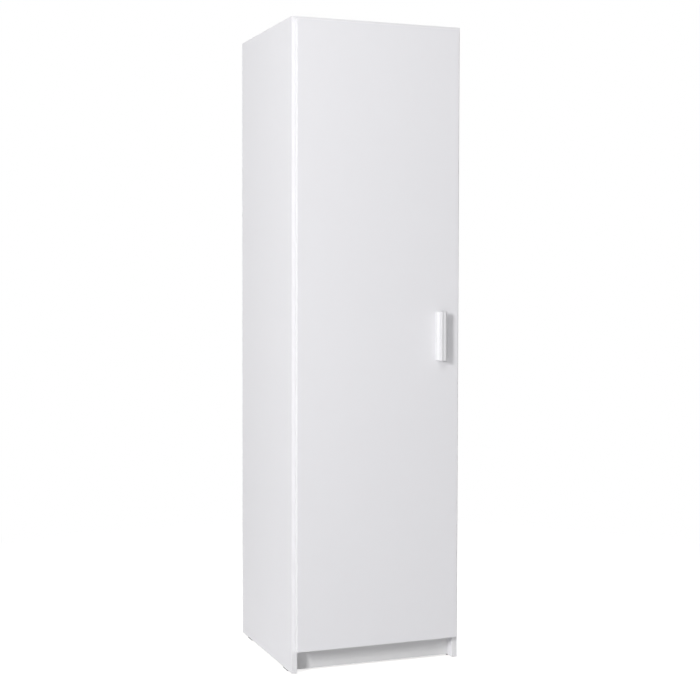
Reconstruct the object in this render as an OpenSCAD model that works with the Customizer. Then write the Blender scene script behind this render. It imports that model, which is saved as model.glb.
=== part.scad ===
// Tall one-door wardrobe in white melamine-faced board, all sizes in millimetres.
// The origin is on the floor under the middle of the whole piece, handle and door included.
// X runs across the front, Y from the door to the back, Z upwards.

/* [Carcass] */
// Width over the side panels
overall_w = 500; // [450:1:700]
// Height from the floor to the top
overall_h = 1800; // [1700:1:2200]
// Depth of the carcass with its back panel, without the door
carcass_d = 482; // [430:1:600]
// Thickness of the carcass boards
board_t = 16; // [15:0.5:19]
// Thickness of the hardboard back panel
back_t = 3; // [2.5:0.1:4]
// Distance of the back panel from the outer edges
back_inset = 2; // [1:0.5:4]
// Rounding of the edge bands at the front
edge_r = 1; // [0.5:0.1:1.5]
// Height of the plinth board
plinth_h = 60; // [50:1:100]
// Distance from the floor to the plinth board
plinth_lift = 6; // [5:0.5:10]
// Distance of the plinth board from the front edges of the side panels
plinth_recess = 28; // [20:1:50]

/* [Glides] */
// Thickness of the glides under the side panels
glide_t = 4; // [3:0.5:5]
// Length of a glide
glide_l = 50; // [35:1:60]
// Width of a glide
glide_w = 12; // [9:0.5:14]
// Distance from the front edge to the front glides
glide_front = 38; // [30:1:80]
// Distance from the back edge to the rear glides
glide_back = 48; // [30:1:80]

/* [Door] */
// Thickness of the door
door_t = 16; // [15.5:0.5:19]
// Gap between the back of the door and the front edges of the carcass
door_gap = 2; // [1.8:0.1:3]
// Part of a side panel's front edge that the door leaves uncovered
door_reveal = 10; // [8:0.5:12]
// Part of the top panel's front edge that the door leaves uncovered
door_top_reveal = 9; // [4:0.5:12]
// Thickness of the bumpers on the back of the door
bumper_t = 1.7; // [1.2:0.1:1.8]
// Radius of a bumper
bumper_r = 4; // [3:0.5:5]
// Distance of the bumpers from the ends of the door
bumper_end = 30; // [20:1:60]

/* [Handle] */
// Length of the handle profile
handle_l = 138; // [134:1:160]
// Width of the handle profile
handle_w = 28; // [25:0.5:34]
// How far the handle stands proud of the door
handle_proud = 22; // [19:0.5:28]
// Distance from the door's opening edge to the handle
handle_edge = 40; // [20:1:80]
// Distance between the two handle screws
handle_pitch = 128; // [96:1:128]
// Width of the curved wing on the hinge side of the web
wing_w = 9; // [7:0.5:11]
// Radius of the hollow of the wing
wing_r = 12; // [10:0.5:14]
// Thickness of the foot of the hollow
wing_foot = 1.5; // [1:0.1:2]
// Thickness of the web that takes the screws
web_t = 5; // [4.8:0.1:6]
// Thickness of the handle's face and lip
lip_t = 3.2; // [2.5:0.1:3.6]
// Width of the lip that is bent back to the door
lip_w = 7.8; // [6:0.1:9]
// How far the end of the lip is bent back
lip_back = 6.2; // [5:0.1:7]
// Distance from the nose of the wing to the bottom of the groove along the face
groove_w = 4.4; // [3.5:0.1:5]
// Depth of the groove
groove_deep = 0.6; // [0.4:0.1:0.8]

/* [Hinges] */
// Number of hinges
hinge_count = 4; // [3:1:5]
// Distance from the ends of the door to the outer hinges
hinge_end = 100; // [80:1:130]
// Radius of the bore for a hinge cup
cup_r = 17.5; // [17.5:0.5:20]
// Depth of a hinge cup in the door
cup_deep = 12.5; // [12.4:0.1:13]
// Wall of a pressed hinge cup
cup_wall = 0.8; // [0.6:0.1:0.9]
// Board left between a cup's bore and the edge of the door
cup_edge = 3; // [2.8:0.1:3.2]
// Distance between the two screws of a cup
cup_screw_pitch = 45; // [42:1:52]
// Distance of the cup's screws from the middle of the cup
cup_screw_x = 9.5; // [5.5:0.5:10]
// Distance of the hinge pin from the hinged edge of the door
pin_edge = 6.6; // [6.5:0.1:6.8]
// Depth of the hinge pin behind the back face of the door
pin_deep = 9.3; // [9.2:0.1:9.5]
// Radius of a hinge pin
pin_r = 1.1; // [0.9:0.1:1.2]
// Thickness of the steel of a hinge arm
arm_t = 1.8; // [1.4:0.1:1.9]
// Height of a hinge arm's web over the side panel
arm_lift = 8.6; // [8:0.1:9]
// Width of a hinge arm over its flanges
arm_w = 14.4; // [13:0.1:16]
// Width of the goose neck at the pin
neck_w = 8.4; // [6:0.1:9]
// Length of a hinge arm behind the front edge
arm_l = 58; // [54:1:64]
// Distance from the front edge to the screws of the mounting plates
plate_y = 37; // [34:1:39]
// Distance between the two screws of a mounting plate
plate_pitch = 32; // [28:1:40]

/* [Interior] */
// Clear height over the hat shelf
hat_space = 268; // [200:1:400]
// Distance of the hat shelf from the front edges
shelf_setback = 20; // [10:1:60]
// Distance from the hat shelf down to the middle of the hanging rail
rail_drop = 55; // [45:1:80]
// Height of the oval rail
rail_h = 30; // [25:0.5:35]
// Thickness of the oval rail
rail_w = 15; // [12:0.5:20]
// Wall of the rail
rail_wall = 1; // [0.8:0.1:1.5]
// Depth of the socket that holds an end of the rail
socket_l = 12; // [8:0.5:20]

/* [Fittings] */
// Distance of the outer cam fittings from the edges of the panels
cam_inset = 50; // [40:1:80]
// Distance from a cam fitting to its dowel
dowel_step = 32; // [25:1:60]
// Distance from a panel's end to the middle of a cam
cam_reach = 34; // [30:0.5:40]
// Radius of the bore for a cam
cam_r = 7.5; // [6:0.5:7.5]
// Depth of the bore for a cam
cam_deep = 12.5; // [12:0.5:13]
// Radius of a dowel
dowel_r = 4; // [3:0.5:5]
// Length of a dowel
dowel_l = 30; // [24:1:40]
// Spacing of the nails along the sides of the back panel
nail_pitch = 190; // [120:5:250]
// Thickness of the steel brackets
bracket_t = 1.5; // [1:0.1:2]
// Radius of the hole for the wall screw
wall_hole_r = 2.75; // [2:0.05:3.5]

/* [Hidden] */
$fn = 48;

// A cut runs this far past the face that it opens
past = 1;
// Clearance all round a fastener in its hole
fit = 0.05;
// Running clearance of a hinge pin in its arm
run_fit = 0.05;
// Clearance of loose pieces that drop into place
loose = 0.3;

// Carcass
front_y = (handle_proud + door_t + door_gap - carcass_d) / 2;
side_x = overall_w / 2 - board_t;
frame_d = carcass_d - back_t;
bottom_z = plinth_lift + plinth_h;
floor_z = bottom_z + board_t;
roof_z = overall_h - board_t;
joint_zs = [bottom_z + board_t / 2, roof_z + board_t / 2];
cam_ys = [cam_inset, frame_d - cam_inset];
dowel_ys = [cam_inset + dowel_step, frame_d - cam_inset - dowel_step];
plinth_dowel_zs = [plinth_lift + plinth_h / 4, plinth_lift + plinth_h * 3 / 4];
plinth_y = plinth_recess + board_t / 2;
dowel_in_side = dowel_l / 3;

// Interior
shelf_z = roof_z - hat_space - board_t;
shelf_d = frame_d - shelf_setback - loose;
shelf_w = 2 * side_x - 2 * loose;
peg_r = 2.5;
peg_in_side = 9;
peg_out = 9;
peg_w = 10;
peg_tongue = 1.6;
peg_inset = 45;
peg_ys = [shelf_setback + peg_inset, shelf_setback + shelf_d - peg_inset];
rail_z = shelf_z - rail_drop;
rail_y = frame_d / 2;
socket_wall = 2;
socket_plate = 2.5;
socket_ear = 8;
socket_screw_z = rail_h / 2 + socket_ear;

// Door
door_w = overall_w - 2 * door_reveal;
door_x = -door_w / 2;
door_z = bottom_z;
door_h = overall_h - door_top_reveal - door_z;
door_back_y = front_y - door_gap;
door_face_y = door_back_y - door_t;
handle_x = door_x + door_w - handle_edge - handle_w;
handle_z = door_z + door_h / 2;
bumper_taper = 0.5;
handle_bolt_r = 1.95;
handle_bolt_in = 10;
web_mid = wing_w + web_t / 2;
nose_x = wing_w + edge_r;
ridge_x = handle_w - lip_w;

// Hinges
cup_x = door_x + cup_edge + cup_r;
cup_fit = 0.15;
pot_r = cup_r - cup_fit;
flange_t = 1;
flange_w = 13;
flange_x = 3;
pin_x = door_x + pin_edge;
pin_out = door_gap + pin_deep;
pin_in = pin_x + side_x;
eye_wall = 0.9;
eye_r = pin_r + eye_wall;
pin_more = 0.25;
lug_gap = neck_w / 2 + loose;
lug_t = 1.2;
corner_dx = pin_edge - edge_r;
corner_dy = pin_deep - edge_r;
sweep_r = sqrt(corner_dx * corner_dx + corner_dy * corner_dy) + edge_r;
corner_clear = 0.35;
neck_r = sweep_r + corner_clear;
flange_in = 2.6;
rib_t = 1.2;
rib_front_y = 10;
rib_low_y = 16;
taper_front_y = 1;
taper_back_y = 8;
arm_slot_l = 9;
plate_t = 2;
plate_w = 18;
rib_clear = 0.3;
block_w = arm_w - 2 * rib_t - 2 * rib_clear;
fix_step = 9;
adjust_step = 13;
block_lead = 6;
block_tail = 10;
fix_y = plate_y + fix_step;
adjust_y = plate_y - adjust_step;
block_front = adjust_y - block_lead;
block_back = fix_y + block_tail;

// Screws as radius, length, head radius and head height
plate_screw = [2.5, 11, 4, 1.8];
cup_screw = [1.75, 11, 3.4, 1.2];
arm_screw = [1.95, 8, 3.6, 2.2];
adjust_r = 2.4;
adjust_out = 1;
socket_screw = [1.75, 13, 3.2, 1.6];
bracket_screw = [1.75, 11, 3.4, 1.6];
handle_screw = [handle_bolt_r, door_t + handle_bolt_in, 4.2, 2.4];
nail_r = 0.7;
nail_l = 20;
nail_head_r = 2;
nail_head_t = 0.6;
nail_edge = board_t / 2;
hole_more = 1;

// Cam fittings
bolt_thread_r = 2.5;
bolt_thread_l = 10;
bolt_collar_r = 3.7;
bolt_collar_t = 2;
bolt_shank_r = 1.9;
bolt_head_r = 3.2;
bolt_head_t = 2.5;
bolt_short = 2;
bolt_l = cam_reach - bolt_short;
bolt_bore_r = 4;
cam_cross_w = 1.2;
cam_cross_deep = 3;
cam_claw = 1;
cap_t = 1;

// Brackets
bracket_w = 30;
bracket_pitch = 15;
bracket_leg = 26;
wall_leg = 34;
wall_hole_z = 18.5;
corner_w = 16;
corner_leg = 24;
corner_inset = 89;
corner_x = side_x - corner_inset;
corner_screw = 15;
bracket_screw_y = 15.6;

function hinge_z(i) = door_z + hinge_end + i * (door_h - 2 * hinge_end) / (hinge_count - 1);
nail_rows = max(2, floor((roof_z - bottom_z) / nail_pitch) + 1);
function nail_z(i) = joint_zs[0] + i * (joint_zs[1] - joint_zs[0]) / (nail_rows - 1);

// Places

module from_front(y = 0) {
  translate([0, front_y + y, 0]) children();
}

// The children's -X points into the board, +X into the side panel
module at_board_ends(ys, zs) {
  for (flip = [0, 1], y = ys, z = zs)
    mirror([flip, 0, 0]) translate([side_x, front_y + y, z]) children();
}

module at_hinges() {
  for (i = [0 : hinge_count - 1]) translate([0, 0, hinge_z(i)]) children();
}

// The children's +Z points from the back of the door into it
module at_cups() {
  at_hinges() translate([cup_x, door_back_y, 0]) rotate([90, 0, 0]) children();
}

// The children's plan is drawn outwards from the front edge and inwards from the side panel
module at_arms() {
  at_hinges() translate([-side_x, front_y, 0]) mirror([0, 1, 0]) children();
}

// The children's +Z points from the left side panel into the wardrobe
module on_left_side(y, dz = 0) {
  at_hinges() translate([-side_x, front_y + y, dz]) rotate([0, 90, 0]) children();
}

module at_handle_screws() {
  for (s = [-1, 1])
    translate([handle_x + web_mid, door_back_y, handle_z + s * handle_pitch / 2])
      rotate([90, 0, 0]) children();
}

module at_wall_bracket() {
  from_front(frame_d) translate([0, 0, roof_z]) children();
}

module at_plinth_brackets() {
  for (s = [-1, 1])
    from_front(plinth_recess + board_t) translate([s * corner_x, 0, bottom_z]) children();
}

module at_back_nails() {
  for (s = [-1, 1], i = [0 : nail_rows - 1])
    from_front(carcass_d) translate([s * (overall_w / 2 - nail_edge), 0, nail_z(i)]) children();
  for (s = [-1, 0, 1], z = joint_zs)
    from_front(carcass_d) translate([s * overall_w / 4, 0, z]) children();
}

module at_glides() {
  for (s = [-1, 1], y = [glide_front + glide_l / 2, carcass_d - glide_back - glide_l / 2])
    from_front(y) translate([s * (overall_w - board_t) / 2, 0, 0]) children();
}

// Shapes that repeat

// Plan of a board with rounded front edges, and with rounded back edges if asked for
module board_plan(w, d, r, both = false) {
  back = both ? r : 0;
  translate([r, 0]) square([w - 2 * r, d]);
  translate([0, r]) square([w, d - r - back]);
  for (x = [r, w - r], y = both ? [r, d - r] : [r]) translate([x, y]) circle(r);
}

module stadium(l, w) {
  square([l - w, w], center = true);
  for (s = [-1, 1]) translate([s * (l - w) / 2, 0]) circle(w / 2);
}

// The head stands on the plane Z = 0 and the shank points down
module screw(s) {
  tip = 2 * s[0];
  difference() {
    union() {
      cylinder(r1 = s[2], r2 = 0.75 * s[2], h = s[3]);
      translate([0, 0, -s[1] + tip]) cylinder(r = s[0], h = s[1] - tip + s[3] / 2);
      translate([0, 0, -s[1]]) cylinder(r1 = s[0] / 4, r2 = s[0], h = tip);
    }
    cross_recess(s[2], s[3]);
  }
}

// A machine screw has a flat end
module machine_screw(s) {
  difference() {
    union() {
      cylinder(r1 = s[2], r2 = 0.75 * s[2], h = s[3]);
      translate([0, 0, -s[1]]) cylinder(r = s[0], h = s[1] + s[3] / 2);
    }
    cross_recess(s[2], s[3]);
  }
}

module cross_recess(head_r, head_h) {
  for (a = [0, 90])
    rotate([0, 0, a]) translate([0, 0, head_h]) cube([head_r, head_r / 4, head_h], center = true);
}

module screw_hole(s) {
  translate([0, 0, -s[1] - hole_more]) cylinder(r = s[0] + fit, h = s[1] + hole_more + past);
}

// The head's outer face is on the plane Z = 0
module nail() {
  translate([0, 0, -nail_head_t]) cylinder(r = nail_head_r, h = nail_head_t);
  translate([0, 0, -nail_l]) cylinder(r = nail_r, h = nail_l - nail_head_t / 2);
}

module nail_hole() {
  translate([0, 0, -nail_head_t]) cylinder(r = nail_head_r + fit, h = nail_head_t + past);
  translate([0, 0, -nail_l - hole_more]) cylinder(r = nail_r + fit, h = nail_l + hole_more);
}

module dowel() {
  chamfer = 1;
  translate([dowel_in_side, 0, 0]) rotate([0, -90, 0]) {
    cylinder(r1 = dowel_r - chamfer, r2 = dowel_r, h = chamfer);
    translate([0, 0, chamfer]) cylinder(r = dowel_r, h = dowel_l - 2 * chamfer);
    translate([0, 0, dowel_l - chamfer]) cylinder(r1 = dowel_r, r2 = dowel_r - chamfer, h = chamfer);
  }
}

module dowel_hole() {
  translate([dowel_in_side + hole_more, 0, 0]) rotate([0, -90, 0])
    cylinder(r = dowel_r + fit, h = dowel_l + 2 * hole_more);
}

// The bolt screws into the side panel and the cam in the board pulls its head
module cam_bolt() {
  rotate([0, 90, 0]) {
    cylinder(r = bolt_thread_r, h = bolt_thread_l);
    translate([0, 0, -bolt_collar_t]) cylinder(r = bolt_collar_r, h = bolt_collar_t);
    translate([0, 0, -bolt_l]) cylinder(r = bolt_shank_r, h = bolt_l);
    translate([0, 0, -bolt_l]) cylinder(r = bolt_head_r, h = bolt_head_t);
  }
}

module cam_bolt_hole() {
  rotate([0, 90, 0]) cylinder(r = bolt_thread_r + fit, h = bolt_thread_l + hole_more);
}

module cam_bores() {
  translate([-cam_reach, 0, -board_t / 2 - past]) cylinder(r = cam_r, h = cam_deep + past);
  rotate([0, -90, 0]) translate([0, 0, -past]) cylinder(r = bolt_bore_r, h = cam_reach + past);
}

module cam_lock() {
  slot_w = 2 * (bolt_head_r + loose);
  translate([-cam_reach, 0, -board_t / 2]) difference() {
    cylinder(r = cam_r - fit, h = cam_deep - loose);
    translate([-cam_claw, -slot_w / 2, board_t / 2 - slot_w / 2]) cube([cam_r + cam_claw, slot_w, cam_deep]);
    for (a = [45, 135]) rotate([0, 0, a]) cube([cam_r, cam_cross_w, cam_cross_deep], center = true);
  }
}

module cam_cap() {
  translate([-cam_reach, 0, -board_t / 2 - cap_t]) cylinder(r1 = cam_r, r2 = cam_r + cap_t, h = cap_t);
}

// Carcass

module side_panel() {
  difference() {
    translate([side_x, front_y, glide_t])
      linear_extrude(overall_h - glide_t) board_plan(board_t, frame_d, edge_r);
    union() {
      for (y = cam_ys, z = joint_zs) translate([side_x, front_y + y, z]) cam_bolt_hole();
      for (y = dowel_ys, z = joint_zs) translate([side_x, front_y + y, z]) dowel_hole();
      for (z = plinth_dowel_zs) translate([side_x, front_y + plinth_y, z]) dowel_hole();
      for (y = peg_ys) translate([side_x, front_y + y, shelf_z - peg_r])
        rotate([0, 90, 0]) cylinder(r = peg_r + fit, h = peg_in_side + hole_more);
      for (s = [-1, 1]) translate([side_x, front_y + rail_y, rail_z + s * socket_screw_z])
        rotate([0, -90, 0]) translate([0, 0, socket_plate]) screw_hole(socket_screw);
    }
    at_back_nails() rotate([-90, 0, 0]) nail_hole();
    at_glides() translate([0, 0, nail_head_t]) mirror([0, 0, 1]) nail_hole();
  }
}

module side_panel_left() {
  color("white") difference() {
    mirror([1, 0, 0]) side_panel();
    for (s = [-1, 1]) on_left_side(plate_y, s * plate_pitch / 2)
      translate([0, 0, plate_t]) screw_hole(plate_screw);
  }
}

module side_panel_right() {
  color("white") side_panel();
}

module top_panel() {
  color("white") difference() {
    translate([-side_x, front_y, roof_z]) cube([2 * side_x, frame_d, board_t]);
    at_board_ends(cam_ys, [joint_zs[1]]) cam_bores();
    at_board_ends(dowel_ys, [joint_zs[1]]) dowel_hole();
    at_wall_bracket() wall_bracket_screw_places() screw_hole(bracket_screw);
    at_back_nails() rotate([-90, 0, 0]) nail_hole();
  }
}

module bottom_panel() {
  color("white") difference() {
    translate([-side_x, front_y, bottom_z]) cube([2 * side_x, frame_d, board_t]);
    at_board_ends(cam_ys, [joint_zs[0]]) cam_bores();
    at_board_ends(dowel_ys, [joint_zs[0]]) dowel_hole();
    at_plinth_brackets() corner_screw_up() screw_hole(bracket_screw);
    at_back_nails() rotate([-90, 0, 0]) nail_hole();
  }
}

module plinth() {
  color("white") difference() {
    translate([-side_x, front_y + plinth_recess, plinth_lift]) cube([2 * side_x, board_t, plinth_h]);
    at_board_ends([plinth_y], plinth_dowel_zs) dowel_hole();
    at_plinth_brackets() corner_screw_front() screw_hole(bracket_screw);
  }
}

module back_panel() {
  color("whitesmoke") difference() {
    translate([-overall_w / 2 + back_inset, front_y + frame_d, bottom_z + back_inset])
      cube([overall_w - 2 * back_inset, back_t, overall_h - bottom_z - 2 * back_inset]);
    at_back_nails() rotate([-90, 0, 0]) nail_hole();
    at_wall_bracket() wall_hole();
  }
}

module hat_shelf() {
  color("white") translate([-shelf_w / 2, front_y + shelf_setback, shelf_z])
    linear_extrude(board_t) board_plan(shelf_w, shelf_d, edge_r);
}

// Door

module door_panel() {
  color("white") difference() {
    translate([door_x, door_face_y, door_z]) linear_extrude(door_h) board_plan(door_w, door_t, edge_r, true);
    at_cups() translate([0, 0, -past]) cylinder(r = cup_r, h = cup_deep + loose + past);
    at_cups() cup_screw_places() screw_hole(cup_screw);
    at_handle_screws() translate([0, 0, -past]) cylinder(r = handle_bolt_r + fit, h = door_t + 2 * past);
  }
}

// Section of the handle: X from its left edge, Y outwards from the door
module handle_section() {
  difference() {
    union() {
      square([wing_w + web_t, handle_proud - edge_r]);
      translate([nose_x, handle_proud - edge_r]) circle(edge_r);
      translate([nose_x, handle_proud - lip_t]) square([ridge_x - nose_x, lip_t]);
      hull() {
        translate([ridge_x, handle_proud - lip_t / 2]) circle(lip_t / 2);
        translate([handle_w - lip_t / 2, handle_proud - lip_t / 2 - lip_back]) circle(lip_t / 2);
      }
    }
    translate([wing_w - wing_r, wing_foot + wing_r]) circle(wing_r);
    translate([-past, wing_foot + wing_r]) square([wing_w + past, handle_proud]);
    polygon([
      [nose_x, handle_proud + past], [nose_x, handle_proud],
      [nose_x + groove_w, handle_proud - groove_deep],
      [ridge_x, handle_proud], [ridge_x, handle_proud + past]
    ]);
  }
}

module handle() {
  color("silver") difference() {
    translate([handle_x, door_face_y, handle_z])
      mirror([0, 1, 0]) translate([0, 0, -handle_l / 2]) linear_extrude(handle_l) handle_section();
    at_handle_screws() translate([0, 0, door_t - past])
      cylinder(r = handle_bolt_r + fit, h = handle_bolt_in + hole_more + past);
  }
}

module handle_screws() {
  color("silver") at_handle_screws() rotate([180, 0, 0]) machine_screw(handle_screw);
}

module door_bumpers() {
  for (z = [door_z + bumper_end, door_z + door_h - bumper_end])
    color("gainsboro") translate([door_x + door_w - bumper_r - loose, door_back_y, z])
      rotate([-90, 0, 0]) cylinder(r1 = bumper_r, r2 = bumper_r - bumper_taper, h = bumper_t);
}

// Hinges

// Screws of a cup, heads towards the carcass
module cup_screw_places() {
  for (s = [-1, 1])
    translate([cup_screw_x, s * cup_screw_pitch / 2, -flange_t]) rotate([180, 0, 0]) children();
}

module cup_pin_place() {
  translate([pin_x - cup_x, 0, pin_deep]) rotate([90, 0, 0]) children();
}

module cup_flange() {
  circle(pot_r);
  translate([cup_screw_x, 0]) rotate([0, 0, 90]) stadium(cup_screw_pitch + flange_w, flange_w);
  translate([flange_x, -pot_r]) square([pot_r - flange_x, 2 * pot_r]);
}

module hinge_cup() {
  room_r = pot_r - cup_wall;
  difference() {
    union() {
      difference() {
        union() {
          cylinder(r = pot_r, h = cup_deep);
          translate([0, 0, -flange_t]) linear_extrude(flange_t) cup_flange();
        }
        translate([0, 0, -flange_t - past]) cylinder(r = room_r, h = cup_deep + flange_t - cup_wall + past);
      }
      for (s = [-1, 1]) {
        translate([0, s * (lug_gap + lug_t / 2), 0]) cup_pin_place()
          cylinder(r = eye_r, h = lug_t, center = true);
        translate([pin_x - cup_x - eye_r, s * (lug_gap + lug_t / 2) - lug_t / 2, pin_deep])
          cube([2 * eye_r, lug_t, cup_deep - pin_deep]);
      }
    }
    cup_pin_place() cylinder(r = pin_r + fit / 2, h = 2 * (lug_gap + lug_t + past), center = true);
    cup_screw_places() screw_hole(cup_screw);
  }
}

module hinge_cups() {
  color("silver") at_cups() hinge_cup();
}

module hinge_cup_screws() {
  color("silver") at_cups() cup_screw_places() screw(cup_screw);
}

module hinge_pins() {
  color("lightgray") at_cups() cup_pin_place()
    cylinder(r = pin_r, h = 2 * (lug_gap + lug_t + pin_more), center = true);
}

// The goose neck reaches round the path of the door's corner into the cup
module neck_plan() {
  difference() {
    union() {
      translate([pin_in, pin_out]) circle(eye_r);
      translate([pin_in, pin_out - arm_t / 2]) square([neck_r + arm_t / 2, arm_t]);
      intersection() {
        translate([pin_in, pin_out]) difference() {
          circle(neck_r + arm_t);
          circle(neck_r);
        }
        translate([arm_lift, -past]) square([2 * neck_r, pin_out + arm_t / 2 + past]);
      }
    }
    translate([pin_in, pin_out]) circle(pin_r + run_fit);
  }
}

module arm_web() {
  neck_y = pin_out - sqrt(neck_r * neck_r - (arm_lift - pin_in) * (arm_lift - pin_in));
  difference() {
    translate([arm_lift, 0, 0]) rotate([90, 0, 90]) linear_extrude(arm_t) difference() {
      polygon([
        [-arm_l, -arm_w / 2], [-taper_back_y, -arm_w / 2],
        [-taper_front_y, -neck_w / 2], [neck_y, -neck_w / 2],
        [neck_y, neck_w / 2], [-taper_front_y, neck_w / 2],
        [-taper_back_y, arm_w / 2], [-arm_l, arm_w / 2]
      ]);
      translate([-fix_y, 0]) stadium(arm_slot_l, 2 * (arm_screw[0] + fit));
    }
    translate([arm_lift - past, -adjust_y, 0]) rotate([0, 90, 0])
      cylinder(r = adjust_r + fit, h = arm_t + 2 * past);
  }
}

module arm_flange() {
  linear_extrude(rib_t) polygon([
    [flange_in, -arm_l], [flange_in, -rib_low_y], [arm_lift, -rib_front_y],
    [arm_lift + arm_t, -rib_front_y], [arm_lift + arm_t, -arm_l]
  ]);
}

module hinge_arm() {
  translate([0, 0, -neck_w / 2]) linear_extrude(neck_w) neck_plan();
  arm_web();
  translate([0, 0, arm_w / 2 - rib_t]) arm_flange();
  translate([0, 0, -arm_w / 2]) arm_flange();
}

module hinge_arms() {
  color("silver") at_arms() hinge_arm();
}

module hinge_arm_screws() {
  color("silver") on_left_side(fix_y) translate([0, 0, arm_lift + arm_t]) machine_screw(arm_screw);
  color("silver") on_left_side(adjust_y) translate([0, 0, arm_lift]) difference() {
    cylinder(r = adjust_r, h = arm_t + adjust_out);
    cross_recess(adjust_r, arm_t + adjust_out);
  }
}

module hinge_plate() {
  difference() {
    union() {
      linear_extrude(plate_t) stadium(plate_pitch + plate_w, plate_w);
      translate([-block_w / 2, block_front - plate_y, 0]) cube([block_w, block_back - block_front, arm_lift]);
    }
    for (s = [-1, 1]) translate([s * plate_pitch / 2, 0, plate_t]) screw_hole(plate_screw);
    translate([0, fix_y - plate_y, arm_lift + arm_t]) screw_hole(arm_screw);
  }
}

module hinge_plates() {
  color("darkgray") on_left_side(plate_y) hinge_plate();
}

module hinge_plate_screws() {
  for (s = [-1, 1])
    color("silver") on_left_side(plate_y, s * plate_pitch / 2) translate([0, 0, plate_t]) screw(plate_screw);
}

// Interior

module rail_outline(grow) {
  stadium(rail_h + 2 * grow, rail_w + 2 * grow);
}

module hanging_rail() {
  l = 2 * (side_x - socket_plate - loose);
  color("silver") from_front(rail_y) translate([-l / 2, 0, rail_z]) rotate([0, 90, 0])
    linear_extrude(l) difference() {
      rail_outline(0);
      rail_outline(-rail_wall);
    }
}

// A socket is open at its top, so that the rail drops in
module rail_socket() {
  difference() {
    union() {
      linear_extrude(socket_plate) stadium(2 * socket_screw_z + rail_w, rail_w);
      linear_extrude(socket_plate + socket_l) difference() {
        rail_outline(loose + socket_wall);
        rail_outline(loose);
        translate([-rail_h, 0])
          square([2 * (rail_h - rail_w / 2), rail_w + 2 * loose], center = true);
      }
    }
    for (s = [-1, 1])
      translate([s * socket_screw_z, 0, socket_plate]) screw_hole(socket_screw);
  }
}

module at_rail_ends() {
  for (flip = [0, 1]) mirror([flip, 0, 0])
    translate([-side_x, front_y + rail_y, rail_z]) rotate([0, 90, 0]) children();
}

module rail_sockets() {
  color("silver") at_rail_ends() rail_socket();
}

module rail_socket_screws() {
  color("silver") at_rail_ends() for (s = [-1, 1])
    translate([s * socket_screw_z, 0, socket_plate]) screw(socket_screw);
}

module shelf_pin() {
  translate([-peg_out, 0, -peg_r]) rotate([0, 90, 0]) cylinder(r = peg_r, h = peg_out + peg_in_side);
  translate([-peg_out, -peg_w / 2, -peg_tongue]) cube([peg_out, peg_w, peg_tongue]);
}

module shelf_pins() {
  color("silver") at_board_ends(peg_ys, [shelf_z]) shelf_pin();
}

// Joints of the carcass

module dowels() {
  color("burlywood") at_board_ends(dowel_ys, joint_zs) dowel();
  color("burlywood") at_board_ends([plinth_y], plinth_dowel_zs) dowel();
}

module cam_bolts() {
  color("silver") at_board_ends(cam_ys, joint_zs) cam_bolt();
}

module cam_locks() {
  color("darkgray") at_board_ends(cam_ys, joint_zs) cam_lock();
}

module cam_caps() {
  color("white") at_board_ends(cam_ys, [joint_zs[1]]) cam_cap();
}

module corner_screw_up() {
  translate([0, corner_screw, -bracket_t]) rotate([180, 0, 0]) children();
}

module corner_screw_front() {
  translate([0, bracket_t, -corner_screw]) rotate([-90, 0, 0]) children();
}

module plinth_bracket() {
  difference() {
    translate([-corner_w / 2, 0, 0]) rotate([90, 0, 90]) linear_extrude(corner_w) {
      translate([0, -bracket_t]) square([corner_leg, bracket_t]);
      translate([0, -corner_leg]) square([bracket_t, corner_leg]);
    }
    corner_screw_up() screw_hole(bracket_screw);
    corner_screw_front() screw_hole(bracket_screw);
  }
}

module plinth_brackets() {
  color("silver") at_plinth_brackets() plinth_bracket();
}

module plinth_bracket_screws() {
  color("silver") at_plinth_brackets() {
    corner_screw_up() screw(bracket_screw);
    corner_screw_front() screw(bracket_screw);
  }
}

module wall_bracket_screw_places() {
  for (s = [-1, 1])
    translate([s * bracket_pitch / 2, -bracket_screw_y, -bracket_t]) rotate([180, 0, 0]) children();
}

module wall_hole() {
  translate([0, back_t + past, -wall_hole_z]) rotate([90, 0, 0])
    cylinder(r = wall_hole_r, h = back_t + bracket_t + 2 * past);
}

module wall_bracket() {
  color("silver") at_wall_bracket() difference() {
    translate([-bracket_w / 2, 0, 0]) rotate([90, 0, 90]) linear_extrude(bracket_w) {
      translate([-bracket_leg, -bracket_t]) square([bracket_leg, bracket_t]);
      translate([-bracket_t, -wall_leg]) square([bracket_t, wall_leg]);
    }
    wall_bracket_screw_places() screw_hole(bracket_screw);
    wall_hole();
  }
}

module wall_bracket_screws() {
  color("silver") at_wall_bracket() wall_bracket_screw_places() screw(bracket_screw);
}

module back_panel_nails() {
  color("silver") at_back_nails() rotate([-90, 0, 0]) nail();
}

// Glides under the side panels

module glides() {
  color("dimgray") at_glides() difference() {
    linear_extrude(glide_t) rotate([0, 0, 90]) stadium(glide_l, glide_w);
    translate([0, 0, nail_head_t]) mirror([0, 0, 1]) nail_hole();
  }
}

module glide_nails() {
  color("silver") at_glides() translate([0, 0, nail_head_t]) mirror([0, 0, 1]) nail();
}

side_panel_left();
side_panel_right();
top_panel();
bottom_panel();
plinth();
back_panel();
hat_shelf();
door_panel();
handle();
handle_screws();
door_bumpers();
hinge_cups();
hinge_cup_screws();
hinge_pins();
hinge_arms();
hinge_arm_screws();
hinge_plates();
hinge_plate_screws();
hanging_rail();
rail_sockets();
rail_socket_screws();
shelf_pins();
dowels();
cam_bolts();
cam_locks();
cam_caps();
plinth_brackets();
plinth_bracket_screws();
wall_bracket();
wall_bracket_screws();
back_panel_nails();
glides();
glide_nails();
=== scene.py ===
import math

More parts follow.
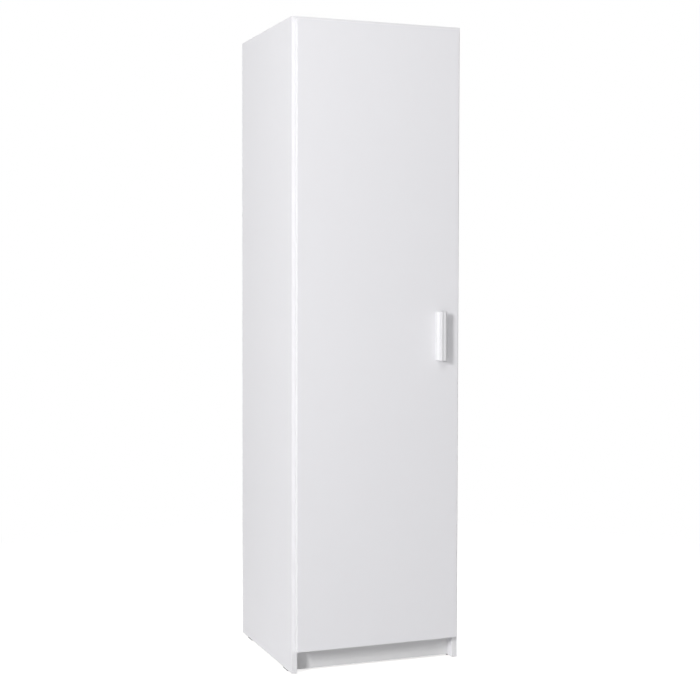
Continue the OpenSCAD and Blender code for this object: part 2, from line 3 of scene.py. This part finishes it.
import bpy
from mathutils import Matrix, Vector


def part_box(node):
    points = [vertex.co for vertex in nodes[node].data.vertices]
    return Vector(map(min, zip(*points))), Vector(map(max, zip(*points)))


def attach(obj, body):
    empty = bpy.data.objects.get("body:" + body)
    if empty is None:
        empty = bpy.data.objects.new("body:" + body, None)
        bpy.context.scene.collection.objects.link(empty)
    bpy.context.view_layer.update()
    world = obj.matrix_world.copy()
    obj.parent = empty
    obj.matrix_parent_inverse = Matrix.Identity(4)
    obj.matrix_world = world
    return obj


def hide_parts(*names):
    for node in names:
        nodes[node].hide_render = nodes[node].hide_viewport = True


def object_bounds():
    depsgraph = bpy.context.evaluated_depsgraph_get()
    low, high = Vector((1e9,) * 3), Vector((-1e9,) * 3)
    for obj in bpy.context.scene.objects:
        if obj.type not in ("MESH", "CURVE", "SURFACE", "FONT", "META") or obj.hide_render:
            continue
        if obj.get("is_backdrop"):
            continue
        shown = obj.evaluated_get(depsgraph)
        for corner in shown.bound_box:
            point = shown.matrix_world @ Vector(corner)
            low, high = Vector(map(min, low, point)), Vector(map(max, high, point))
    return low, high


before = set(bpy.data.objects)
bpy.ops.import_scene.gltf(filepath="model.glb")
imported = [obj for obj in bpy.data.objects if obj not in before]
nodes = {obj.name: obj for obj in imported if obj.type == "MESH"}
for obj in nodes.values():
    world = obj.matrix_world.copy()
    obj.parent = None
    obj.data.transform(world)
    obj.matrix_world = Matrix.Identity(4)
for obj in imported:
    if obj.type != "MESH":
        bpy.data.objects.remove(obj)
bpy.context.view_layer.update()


# Side panels. Two upright boards of white melamine-faced chipboard, sawn from one sheet, whose feet
# run down past the plinth. A plastic band with a small radius is glued on the front edge and a thin
# one on the top, and the back and bottom edges stay raw.
class Socket:
    """A socket of a finish. Sums and products of sockets add their nodes."""

    def __init__(self, tree, out):
        self.tree = tree
        self.out = out

    def node(self, kind, settings, sockets, give=0):
        """Adds a node, first its settings, then the values or links of its sockets."""
        made = self.tree.nodes.new(kind)
        for name, value in settings.items():
            setattr(made, name, value)
        feed(made, sockets)
        return Socket(self.tree, made.outputs[give])

    def math(self, operation, *values):
        return self.node("ShaderNodeMath", {"operation": operation}, dict(enumerate(values)))

    def __add__(self, other):
        return self.math("ADD", self, other)

    def __sub__(self, other):
        return self.math("SUBTRACT", self, other)

    def __rsub__(self, other):
        return self.math("SUBTRACT", other, self)

    def __mul__(self, other):
        return self.math("MULTIPLY", self, other)

    def __gt__(self, other):
        return self.math("GREATER_THAN", self, other)

    __radd__ = __add__
    __rmul__ = __mul__

    def between(self, low, high):
        """0 below low, 1 above high, and a smooth rise from one to the other."""
        return self.node(
            "ShaderNodeMapRange",
            {"interpolation_type": "SMOOTHSTEP"},
            {"Value": self, "From Min": low, "From Max": high},
        )

    def tint(self, none, full):
        """The colour none where this socket is 0, and the colour full where it is 1."""
        return self.node(
            "ShaderNodeMix", {"data_type": "RGBA"}, {0: self, 6: none, 7: full}, give=2
        )

    def scaled(self, x, y, z):
        """A place stretched along the three axes."""
        return self.node(
            "ShaderNodeMapping", {"vector_type": "POINT"}, {"Vector": self, "Scale": (x, y, z)}
        )

    def axis(self, name):
        return self.node("ShaderNodeSeparateXYZ", {}, {0: self}, give=name)

    def noise(self, scale, detail=2, rough=0.5):
        return self.node(
            "ShaderNodeTexNoise", {}, {"Vector": self, "Scale": scale, "Detail": detail, "Roughness": rough}
        )

    def cells(self, scale, give="Distance"):
        return self.node("ShaderNodeTexVoronoi", {}, {"Vector": self, "Scale": scale}, give=give)

    def relief(self, depth, strength=1.0):
        """A surface that this socket raises by up to depth, in metres."""
        return self.node("ShaderNodeBump", {}, {"Height": self, "Distance": depth, "Strength": strength})


def feed(node, values):
    """Gives a node's sockets their values or their links."""
    for name, value in values.items():
        socket = node.inputs[name]
        if isinstance(value, Socket):
            value.tree.links.new(value.out, socket)
        elif socket.type == "RGBA":
            socket.default_value = (*value, 1)
        else:
            socket.default_value = value


def finish(name):
    """An empty finish: the material, the place on the piece and the shader to feed."""
    made = bpy.data.materials.new(name)
    made.use_nodes = True
    tree = made.node_tree
    place = Socket(tree, tree.nodes.new("ShaderNodeTexCoord").outputs["Object"])
    return made, place, tree.nodes["Principled BSDF"]


def melamine_face(name, dull, bright):
    """White foil pressed on the board with a fine pearl structure, like very fine orange peel."""
    made, place, shader = finish(name)
    pearl = place.noise(1500, 2, 0.55)
    press = place.noise(2.2, 1)
    rub = place.noise(16, 3, 0.6).between(0.5, 0.8)
    feed(shader, {
        "Base Color": press.tint(dull, bright),
        "Roughness": 0.42 + 0.07 * pearl + 0.04 * rub,
        "Normal": pearl.relief(0.00003, 0.5),
        "IOR": 1.5,
        "Specular IOR Level": 0.28,
    })
    return made


def banding(name, along, white):
    """White plastic edge band, smoother than the foil, with faint trimming lines along it."""
    made, place, shader = finish(name)
    stretch = {"x": (6, 900, 900), "z": (900, 900, 6)}[along]
    lines = place.scaled(*stretch).noise(1, 2)
    dull = [white * part for part in (0.985, 0.981, 1.004)]
    bright = [white * part for part in (1.004, 1, 1.021)]
    feed(shader, {
        "Base Color": lines.tint(dull, bright),
        "Roughness": 0.36 + 0.08 * lines,
        "Normal": lines.relief(0.00002, 0.4),
        "IOR": 1.5,
        "Specular IOR Level": 0.3,
    })
    return made


def raw_chipboard():
    """Sawn edge of chipboard: flakes and dust of softwood bound with resin."""
    made, place, shader = finish("raw_chipboard")
    chips = place.scaled(1, 1, 0.45).cells(430, give="Color").axis("X")
    dust = place.noise(1400, 4, 0.7)
    pits = place.noise(620, 3, 0.6).between(0.60, 0.72)
    wood = (0.62 * chips + 0.38 * dust).tint((0.36, 0.245, 0.145), (0.66, 0.52, 0.36))
    feed(shader, {
        "Base Color": pits.tint(wood, (0.16, 0.10, 0.06)),
        "Roughness": 0.82 + 0.1 * dust,
        "Normal": (dust * 0.5 + chips * 0.3 - pits).relief(0.0004, 0.7),
    })
    return made


carcass_band_white = 0.815
white_face = melamine_face("white_melamine", (0.800, 0.796, 0.822), (0.812, 0.808, 0.832))
band_x, band_z = (banding("carcass_band_" + along, along, carcass_band_white) for along in "xz")
chip_edge = raw_chipboard()


def slab(name, low, high):
    """A block from its lowest to its highest corner, with its place in its mesh."""
    low, high = Vector(low), Vector(high)
    bpy.ops.object.select_all(action="DESELECT")
    bpy.ops.mesh.primitive_cube_add(size=1, location=(low + high) / 2, scale=high - low)
    bpy.ops.object.transform_apply(location=True, rotation=True, scale=True)
    piece = bpy.context.object
    piece.name = piece.data.name = name
    return piece


def hold(piece):
    """Makes a piece the only selected one, and the active one."""
    bpy.ops.object.select_all(action="DESELECT")
    bpy.context.view_layer.objects.active = piece
    piece.select_set(True)


def apply_modifier(piece, kind, **settings):
    """Adds a modifier with its settings and applies it at once."""
    hold(piece)
    made = piece.modifiers.new(kind.lower(), kind)
    for name, value in settings.items():
        setattr(made, name, value)
    bpy.ops.object.modifier_apply(modifier=made.name)


def pick_edges(piece, wanted):
    """Selects in edit mode the edges whose middle and direction are wanted."""
    hold(piece)
    bpy.ops.object.mode_set(mode="EDIT")
    bpy.ops.mesh.select_mode(type="EDGE")
    bpy.ops.mesh.select_all(action="DESELECT")
    bpy.ops.object.mode_set(mode="OBJECT")
    corners = piece.data.vertices
    for edge in piece.data.edges:
        a, b = (corners[i].co for i in edge.vertices)
        edge.select = wanted((a + b) / 2, (b - a).normalized())
    bpy.ops.object.mode_set(mode="EDIT")


def ease(piece, radius, steps, wanted):
    """Rounds the wanted edges of a piece."""
    pick_edges(piece, wanted)
    bpy.ops.mesh.bevel(offset=radius, segments=steps, affect="EDGES")
    bpy.ops.object.mode_set(mode="OBJECT")


def smooth(piece, degrees=35):
    """Smooth shading over the roundings, which leaves the flats flat."""
    hold(piece)
    bpy.ops.object.shade_smooth_by_angle(angle=math.radians(degrees))
    apply_modifier(piece, "WEIGHTED_NORMAL", keep_sharp=True)


band_t, top_band_t = 0.001, 0.0005
band_round, tight_round = 0.0004, 0.0003
saw_break = 0.0002


def foil(piece, low, high, thin):
    """Foil on the two faces across the axis thin, and raw chipboard on every edge and in every bore."""
    piece.data.materials.clear()
    piece.data.materials.append(white_face)
    piece.data.materials.append(chip_edge)
    for face in piece.data.polygons:
        depth = min(abs(face.center[thin] - low[thin]), abs(face.center[thin] - high[thin]))
        face.material_index = 0 if abs(face.normal[thin]) > 0.5 and depth < saw_break else 1


def core(name, low, high, thin):
    """The sawn board of a panel, with its sharp corners just broken."""
    piece = slab(name, low, high)
    ease(piece, saw_break, 1, lambda middle, way: True)
    foil(piece, low, high, thin)
    return piece


def band(name, low, high, out, along, finish_of_band, radius=0.0005):
    """A glued strip whose two long outer edges are rounded; out is (axis, sign) of its outer side."""
    piece = slab(name, low, high)
    side, sign = out
    edge = high[side] if sign > 0 else low[side]
    ease(piece, radius, 4, lambda middle, way: abs(middle[side] - edge) < 1e-6 and abs(way[along]) > 0.9)
    piece.data.materials.append(finish_of_band)
    smooth(piece)
    return piece


for hand in ("left", "right"):
    low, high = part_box("side_panel_" + hand)
    behind_band, under_band = low.y + band_t, high.z - top_band_t
    panel = core("side_board_" + hand, (low.x, behind_band, low.z), (high.x, high.y, under_band), 0)
    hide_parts("side_panel_" + hand)
    front = band("side_front_band_" + hand, low, (high.x, behind_band, high.z), (1, -1), 2, band_z)
    top = band(
        "side_top_band_" + hand, (low.x, behind_band, under_band), high, (2, 1), 1, band_x, tight_round
    )
    for piece in (panel, front, top):
        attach(piece, "carcass")


# Top and bottom panels. Two boards of the same sheet between the side panels. Their ends are butted
# against the sides and drawn up by cam fittings, and only the front edge is banded.
for level in ("top", "bottom"):
    low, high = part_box(level + "_panel")
    behind_band = low.y + band_t
    panel = core(level + "_board", (low.x, behind_band, low.z), high, 2)
    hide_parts(level + "_panel")
    front = band(
        level + "_front_band", low, (high.x, behind_band, high.z), (1, -1), 0, band_x, band_round
    )
    for piece in (panel, front):
        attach(piece, "carcass")


# Plinth. A low board on edge between the feet, set back under the door. Its foil is painted greyer
# than the rest as painted shade for its recess, and it is held by two dowels at each end and by two steel
# angles behind.
low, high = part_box("plinth")
plinth = core("plinth_board", low, high, 1)
# The plinth's foil is painted darker than the other boards' foil: painted shade for its recess under the
# door.
plinth.data.materials[0] = melamine_face("plinth_painted_shade_melamine", (0.735, 0.734, 0.742), (0.747, 0.746, 0.754))
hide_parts("plinth")
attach(plinth, "carcass")


# Dowels and cam fittings. Beech dowels locate the panels, and a steel bolt in the side panel is
# gripped by a cast cam in the board. White caps hide the cams that would show from inside.
def beech_wood():
    """Turned beech with its short dark flecks along the grain."""
    made, place, shader = finish("beech")
    grain = place.scaled(40, 900, 900).noise(1, 3)
    fleck = place.scaled(260, 1800, 1800).noise(1, 2).between(0.62, 0.7)
    wood = grain.tint((0.60, 0.43, 0.27), (0.76, 0.60, 0.42))
    feed(shader, {
        "Base Color": fleck.tint(wood, (0.42, 0.26, 0.15)),
        "Roughness": 0.6 + 0.15 * grain,
        "Normal": grain.relief(0.0002, 0.5),
    })
    return made


def zinc_cast():
    """Grey zinc casting with a fine grain from its mould."""
    made, place, shader = finish("cast_zinc")
    grain = place.noise(900, 3, 0.6)
    feed(shader, {
        "Base Color": grain.tint((0.40, 0.40, 0.42), (0.50, 0.50, 0.52)),
        "Metallic": 1.0,
        "Roughness": 0.42 + 0.16 * grain,
        "Normal": grain.relief(0.0001, 0.4),
    })
    return made


def zinc_plate():
    """Steel with a thin bright zinc plating, slightly cloudy."""
    made, place, shader = finish("zinc_plate")
    cloud = place.noise(120, 3, 0.6)
    feed(shader, {
        "Base Color": cloud.tint((0.58, 0.59, 0.62), (0.68, 0.69, 0.70)),
        "Metallic": 1.0,
        "Roughness": 0.24 + 0.14 * cloud,
        "Normal": place.noise(1600, 2).relief(0.00004, 0.4),
    })
    return made


def moulded(name, colour, gloss):
    """Injection-moulded plastic with a fine spark-eroded grain."""
    made, place, shader = finish(name)
    grain = place.noise(2200, 2)
    feed(shader, {
        "Base Color": grain.tint(colour, [c * 1.06 for c in colour]),
        "Roughness": gloss + 0.1 * grain,
        "Normal": grain.relief(0.00005, 0.5),
    })
    return made


beech, zinc, plated = beech_wood(), zinc_cast(), zinc_plate()
white_cap = moulded("white_cap", (0.80, 0.80, 0.81), 0.4)


def dress(node, made):
    """A CAD piece whose shape is right keeps it and gets its finish."""
    piece = nodes[node]
    piece.data.materials.clear()
    piece.data.materials.append(made)


def soften(node, name, made, body, radius, steps=2):
    """A copy of a CAD piece, merged at its corners, whose sharp edges are rounded off."""
    piece = bpy.data.objects.new(name, nodes[node].data.copy())
    bpy.context.scene.collection.objects.link(piece)
    piece.data.name = name
    weld, flat, sharp = 0.000004, math.radians(0.5), math.radians(40)
    hold(piece)
    bpy.ops.object.mode_set(mode="EDIT")
    bpy.ops.mesh.select_all(action="SELECT")
    bpy.ops.mesh.remove_doubles(threshold=weld)
    bpy.ops.mesh.dissolve_limited(angle_limit=flat)
    bpy.ops.object.mode_set(mode="OBJECT")
    apply_modifier(piece, "BEVEL", width=radius, segments=steps, limit_method="ANGLE", angle_limit=sharp)
    piece.data.materials.clear()
    piece.data.materials.append(made)
    smooth(piece)
    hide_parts(node)
    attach(piece, body)
    return piece


dress("dowels", beech)
dress("cam_bolts", plated)
soften("cam_locks", "cam_castings", zinc, "carcass", 0.0003)
soften("cam_caps", "cam_covers", white_cap, "carcass", 0.0003, 3)


# Back panel. Three-millimetre hardboard, lacquered white on the side that faces the clothes and left
# brown behind, nailed on the back edges of the carcass with a row of small flat-headed nails.
def hardboard():
    """Brown pressed fibre with a white lacquered front."""
    made, place, shader = finish("hardboard")
    lacquer_t = 0.0004
    behind = place.axis("Y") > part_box("back_panel")[0].y + lacquer_t
    fibre = place.scaled(1, 1, 0.7).noise(520, 4, 0.65)
    cloud = place.noise(9, 2)
    brown = (0.6 * fibre + 0.4 * cloud).tint((0.235, 0.135, 0.07), (0.40, 0.255, 0.15))
    feed(shader, {
        "Base Color": behind.tint((0.79, 0.79, 0.80), brown),
        "Roughness": 0.45 + 0.25 * behind + 0.08 * fibre,
        "Normal": fibre.relief(0.00008, 0.6),
    })
    return made


dress("back_panel", hardboard())
dress("back_panel_nails", plated)


# Plinth brackets. Two small angles of zinc-plated sheet steel that hold the plinth under the bottom
# panel, each with two screws.
soften("plinth_brackets", "plinth_angles", plated, "carcass", 0.0003)
soften("plinth_bracket_screws", "plinth_angle_screws", plated, "carcass", 0.0002)


# Glides. Dark grey moulded pads under the feet of the side panels, each held by a flat nail, which
# keep the raw edges off the floor.
dark_plastic = moulded("dark_plastic", (0.035, 0.035, 0.038), 0.5)
soften("glides", "glide_pads", dark_plastic, "carcass", 0.0004, 3)
dress("glide_nails", plated)


# Hat shelf. A loose board over the rail with a banded front edge, which lies on the flats of four
# steel pins in the side panels.
low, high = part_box("hat_shelf")
shelf = core("shelf_board", (low.x, low.y + band_t, low.z), high, 2)
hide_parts("hat_shelf")
front = band("shelf_front_band", low, (high.x, low.y + band_t, high.z), (1, -1), 0, band_x)
for piece in (shelf, front):
    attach(piece, "carcass")
soften("shelf_pins", "shelf_rests", plated, "carcass", 0.0003)


# Hanging rail. An oval chrome-plated steel tube dropped into two cast sockets, which are screwed to
# the side panels.
def chrome():
    """Bright chrome on drawn tube, with faint lines along it."""
    made, place, shader = finish("chrome")
    draw = place.scaled(5, 1200, 1200).noise(1, 2)
    feed(shader, {
        "Base Color": draw.tint((0.74, 0.75, 0.77), (0.80, 0.81, 0.82)),
        "Metallic": 1.0,
        "Roughness": 0.08 + 0.08 * draw,
        "Normal": draw.relief(0.00001, 0.3),
    })
    return made


chromed = chrome()
soften("hanging_rail", "oval_rail", chromed, "carcass", 0.0002)
soften("rail_sockets", "rail_holders", zinc, "carcass", 0.0005, 3)
soften("rail_socket_screws", "rail_holder_screws", plated, "carcass", 0.0002)


# Wall bracket. An angle of sheet steel screwed under the top panel, with a hole through it and the
# back panel for the screw that keeps the wardrobe from tipping.
soften("wall_bracket", "wall_angle", plated, "carcass", 0.0003)
soften("wall_bracket_screws", "wall_angle_screws", plated, "carcass", 0.0002)


# Door. One tall board faced on both sides and banded on all four edges. Its back has four round
# bores for the hinge cups, and two clear pads damp its closing on the right.
def bore(piece, centre, direction, radius, depth, clear=0.001):
    """Drills a round hole of that depth from centre; direction points out of the material."""
    way = Vector(direction)
    bpy.ops.object.select_all(action="DESELECT")
    bpy.ops.mesh.primitive_cylinder_add(
        vertices=64, radius=radius, depth=depth + clear,
        location=Vector(centre) + way * (clear - depth) / 2, rotation=way.to_track_quat("Z", "Y").to_euler(),
    )
    drill = bpy.context.object
    apply_modifier(piece, "BOOLEAN", object=drill, operation="DIFFERENCE", solver="EXACT")
    bpy.data.objects.remove(drill)


low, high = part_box("door_panel")
left, right, bottom, top = low.x + band_t, high.x - band_t, low.z + band_t, high.z - band_t
door = core("door_board", (left, low.y, bottom), (right, high.y, top), 1)
cup_in, cup_r, cup_deep = 0.0205, 0.0175, 0.0128
hinge_end, hinge_count = 0.1, 4
hinge_step = (high.z - low.z - 2 * hinge_end) / (hinge_count - 1)
for i in range(hinge_count):
    bore(door, (low.x + cup_in, high.y, low.z + hinge_end + i * hinge_step), (0, 1, 0), cup_r, cup_deep)
foil(door, low, high, 1)
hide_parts("door_panel")
# The door's bands are painted whiter than the carcass bands: a painted highlight for the door's lit left
# edge.
door_band_painted_highlight_white = 0.872
door_band_x, door_band_z = (banding("door_band_" + along, along, door_band_painted_highlight_white) for along in "xz")
bands = [
    band("door_band_left", low, (left, high.y, high.z), (0, -1), 2, door_band_z),
    band("door_band_right", (right, low.y, low.z), high, (0, 1), 2, door_band_z),
    band("door_band_top", (left, low.y, top), (right, high.y, high.z), (2, 1), 0, door_band_x),
    band("door_band_bottom", (left, low.y, low.z), (right, high.y, bottom), (2, -1), 0, door_band_x),
]
for piece in (door, *bands):
    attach(piece, "door")
clear_pad = moulded("clear_pad", (0.74, 0.75, 0.76), 0.2)
pad_r, pad_t, pad_round = 0.004, 0.0017, 0.0013
pad_x, pad_end = high.x - pad_r - 0.0003, 0.030
for end, z in (("low", low.z + pad_end), ("high", high.z - pad_end)):
    bpy.ops.object.select_all(action="DESELECT")
    bpy.ops.mesh.primitive_cylinder_add(
        vertices=48, radius=pad_r, depth=pad_t,
        location=(pad_x, high.y + pad_t / 2, z), rotation=(math.pi / 2, 0, 0),
    )
    bpy.ops.object.transform_apply(location=True, rotation=True, scale=True)
    pad = bpy.context.object
    pad.name = pad.data.name = "door_pad_" + end
    ease(pad, pad_round, 6, lambda middle, way: middle.y > high.y + 0.9 * pad_t)
    smooth(pad)
    pad.data.materials.append(clear_pad)
    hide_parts("door_bumpers")
    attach(pad, "door")


# Hinges. Nickel-plated steel cups let into the door, each with a pin on which a goose-neck arm turns.
# The arm clips over the block of a cast plate on the side panel and is set by its two screws.
def nickel():
    """Nickel plating, warmer and a little more even than zinc."""
    made, place, shader = finish("nickel_plate")
    cloud = place.noise(200, 2)
    feed(shader, {
        "Base Color": cloud.tint((0.60, 0.585, 0.56), (0.66, 0.645, 0.615)),
        "Metallic": 1.0,
        "Roughness": 0.18 + 0.12 * cloud,
        "Normal": place.noise(900, 2).relief(0.00003, 0.3),
    })
    return made


nickeled = nickel()
soften("hinge_cups", "hinge_pots", nickeled, "door", 0.0002)
soften("hinge_pins", "hinge_axles", nickeled, "door", 0.0002)
soften("hinge_arms", "goose_neck_arms", nickeled, "carcass", 0.0003)
soften("hinge_plates", "arm_bases", zinc, "carcass", 0.0004)
soften("hinge_cup_screws", "pot_screws", plated, "door", 0.0002)
soften("hinge_arm_screws", "arm_screws", plated, "carcass", 0.0002)
soften("hinge_plate_screws", "arm_base_screws", plated, "carcass", 0.0002)


# Handle. A short length of aluminium extrusion: a hollowed wing, a web that takes the two screws, a
# face with a shallow groove and a lip bent back to the door. It is sawn to length, satin anodised and
# screwed from behind.
def anodised():
    """Satin anodised aluminium with the faint lines of its extrusion."""
    made, place, shader = finish("satin_aluminium")
    draw = place.scaled(1500, 1500, 12).noise(1, 3, 0.6)
    feed(shader, {
        "Base Color": draw.tint((0.665, 0.665, 0.68), (0.72, 0.72, 0.735)),
        "Metallic": 0.1,
        "Roughness": 0.46 + 0.1 * draw,
        "Normal": draw.relief(0.00001, 0.3),
        "Specular IOR Level": 0.35,
    })
    return made


def arc(x, y, radius, start, end, steps):
    """Points on part of a circle, from one angle to another, in degrees."""
    angles = [math.radians(start + (end - start) * i / steps) for i in range(steps + 1)]
    return [(x + radius * math.cos(a), y + radius * math.sin(a)) for a in angles]


def hard_corner(before, corner, after, near=0.00012):
    """A corner between two points just beside it, which hold the flats' shading up to it."""
    here = Vector(corner)
    return [here + (Vector(other) - here).normalized() * near for other in (before, after)]


wing_w, web_t, proud, wide = 0.009, 0.005, 0.022, 0.028
hollow_r, foot = 0.012, 0.0015
lip_t, lip_w, lip_back = 0.0032, 0.0078, 0.0062
groove_w, groove_deep = 0.0044, 0.0008
nose_r, end_break = 0.001, 0.00025
hollow_start = -math.degrees(math.acos((hollow_r - wing_w) / hollow_r))
nose_x, ridge_x, ridge_r = wing_w + nose_r, wide - lip_w, lip_t / 2
end_x, end_y = wide - ridge_r, proud - ridge_r - lip_back
lip_slope = math.degrees(math.atan2(lip_back, end_x - ridge_x))
fall = math.degrees(math.atan2(groove_deep, groove_w))
climb = math.degrees(math.atan2(groove_deep, ridge_x - nose_x - groove_w))
section = [
    (0, 0),
    *arc(wing_w - hollow_r, foot + hollow_r, hollow_r, hollow_start, 0, 14),
    *arc(nose_x, proud - nose_r, nose_r, 180, 90 - fall, 5),
    *hard_corner((nose_x, proud), (nose_x + groove_w, proud - groove_deep), (ridge_x, proud)),
    *arc(ridge_x, proud - ridge_r, ridge_r, 90 + climb, 90 - lip_slope, 5),
    *arc(end_x, end_y, ridge_r, 90 - lip_slope, -90 - lip_slope, 10),
    (ridge_x - ridge_r * math.tan(math.radians(lip_slope / 2)), proud - lip_t),
    (wing_w + web_t, proud - lip_t),
    (wing_w + web_t, 0),
]
low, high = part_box("handle")
satin = anodised()
bpy.ops.object.select_all(action="DESELECT")
bpy.ops.mesh.primitive_circle_add(
    vertices=len(section), radius=wide / 2, fill_type="NGON", location=(0, 0, low.z)
)
bpy.ops.object.transform_apply(location=True, rotation=True, scale=True)
handle = bpy.context.object
handle.name = handle.data.name = "handle_profile"
for corner, (x, y) in zip(handle.data.vertices, section):
    corner.co = (low.x + x, high.y - y, low.z)
bpy.ops.object.mode_set(mode="EDIT")
bpy.ops.mesh.select_all(action="SELECT")
bpy.ops.mesh.extrude_region_move(TRANSFORM_OT_translate={"value": (0, 0, high.z - low.z)})
bpy.ops.mesh.select_all(action="SELECT")
bpy.ops.mesh.normals_make_consistent(inside=False)
bpy.ops.object.mode_set(mode="OBJECT")
ease(handle, end_break, 2, lambda middle, way: abs(way.z) < 0.1)
smooth(handle, 30)
handle.data.materials.append(satin)
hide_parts("handle")
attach(handle, "door")
soften("handle_screws", "handle_bolts", plated, "door", 0.0002)


# Studio. A pale floor that runs out into a white backdrop, soft lamps, and a camera at the height
# and side from which the wardrobe was photographed.
def shown_rays(tree):
    """1 for what the camera sees itself, in a reflection or through glass, and 0 for plain light."""
    path = tree.nodes.new("ShaderNodeLightPath")
    camera, glossy, glass = (
        Socket(tree, path.outputs[kind + " Ray"]) for kind in ("Is Camera", "Is Glossy", "Is Transmission")
    )
    return camera.math("MAXIMUM", camera, glossy.math("MAXIMUM", glossy, glass))


def studio_floor():
    """Matt white paper, which shows as white except where the wardrobe shades it."""
    made, place, shader = finish("floor_paper")
    tree = made.node_tree
    shade_to, white_from, lift = 0.9, 2.2, 0.74
    feed(shader, {"Base Color": (0.62, 0.62, 0.62), "Roughness": 0.9, "Specular IOR Level": 0.2})
    shown = shown_rays(tree)
    reach = place.node("ShaderNodeVectorMath", {"operation": "LENGTH"}, {0: place}, give="Value")
    far = reach.between(shade_to, white_from)
    glow = shown.node("ShaderNodeEmission", {}, {"Color": (1, 1, 1), "Strength": lift})
    paper = Socket(tree, shader.outputs[0])
    lit = shown.node("ShaderNodeAddShader", {}, {0: glow, 1: paper})
    white = shown.node("ShaderNodeEmission", {}, {"Color": (1, 1, 1), "Strength": 1.0})
    near = shown.node("ShaderNodeMixShader", {}, {0: far, 1: lit, 2: white})
    both = shown.node("ShaderNodeMixShader", {}, {0: shown, 1: paper, 2: near})
    tree.links.new(both.out, tree.nodes["Material Output"].inputs["Surface"])
    return made


bpy.ops.object.select_all(action="DESELECT")
bpy.ops.mesh.primitive_plane_add(size=40, location=(0, 0, 0))
floor = bpy.context.object
floor.name = "floor"
floor.data.materials.append(studio_floor())
floor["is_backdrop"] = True

world = bpy.data.worlds.new("studio")
bpy.context.scene.world = world
world.use_nodes = True
air = world.node_tree
sky = air.nodes["Background"]
air_light = 0.14
sky.inputs["Color"].default_value = (1, 1, 1, 1)
air.links.new((air_light + (1 - air_light) * shown_rays(air)).out, sky.inputs["Strength"])


def lamp(name, place, aim, wide, high, power):
    """A soft box that points at a spot."""
    bpy.ops.object.light_add(type="AREA", location=place)
    made = bpy.context.object
    made.name = name
    made.data.shape = "RECTANGLE"
    made.data.size = wide
    made.data.size_y = high
    made.data.energy = power
    made.rotation_euler = (Vector(aim) - Vector(place)).to_track_quat("-Z", "Y").to_euler()
    return made


# The key lamp stands on the left in front, as the handle's shadow shows. The lamps on the right and
# behind light the sides that the photograph doesn't show, and aren't seen in the glossy faces.
lamp("key_lamp", (-4.73, -3.32, 2.48), (0.1, -0.2, 0.95), 0.9, 1.6, 255)
lamp("front_lamp", (0.2, -4.0, 0.45), (0, -0.2, 0.5), 2.4, 0.8, 13)
lamp("top_lamp", (-0.8, -3.4, 4.6), (0, -0.1, 0.9), 2.6, 2.6, 60)
lamp("over_lamp", (0.2, 0.9, 3.6), (0, 0.1, 1.8), 1.4, 1.4, 12)
lamp("side_lamp", (4.4, 0.3, 1.2), (0, -0.1, 1.0), 1.0, 1.8, 50).visible_glossy = False
lamp("back_lamp", (2.2, 4.6, 0.4), (0.1, 0.1, 1.0), 2.4, 0.6, 220).visible_glossy = False

# The picture's frame is square. The lens, the place and the three angles are those at which the
# wardrobe's edges fall where they do in the photograph.
lens_mm = 70.843
eye = Vector((-1.4292, -3.7843, 1.088))
turn, down, roll = math.radians(20.7332), math.radians(2.0647), math.radians(0.1078)
bpy.ops.object.camera_add(location=eye)
camera = bpy.context.object
camera.data.sensor_width = 36
camera.data.lens = lens_mm
camera.data.shift_y = -0.03
camera.data.clip_end = 100
look = Vector((math.sin(turn) * math.cos(down), math.cos(turn) * math.cos(down), -math.sin(down)))
aim = look.to_track_quat("-Z", "Y").to_matrix().to_4x4()
camera.matrix_world = camera.matrix_world @ aim
camera.rotation_euler.rotate_axis("Z", roll)
bpy.context.scene.camera = camera

bpy.context.scene.view_settings.view_transform = "Standard"

low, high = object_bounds()
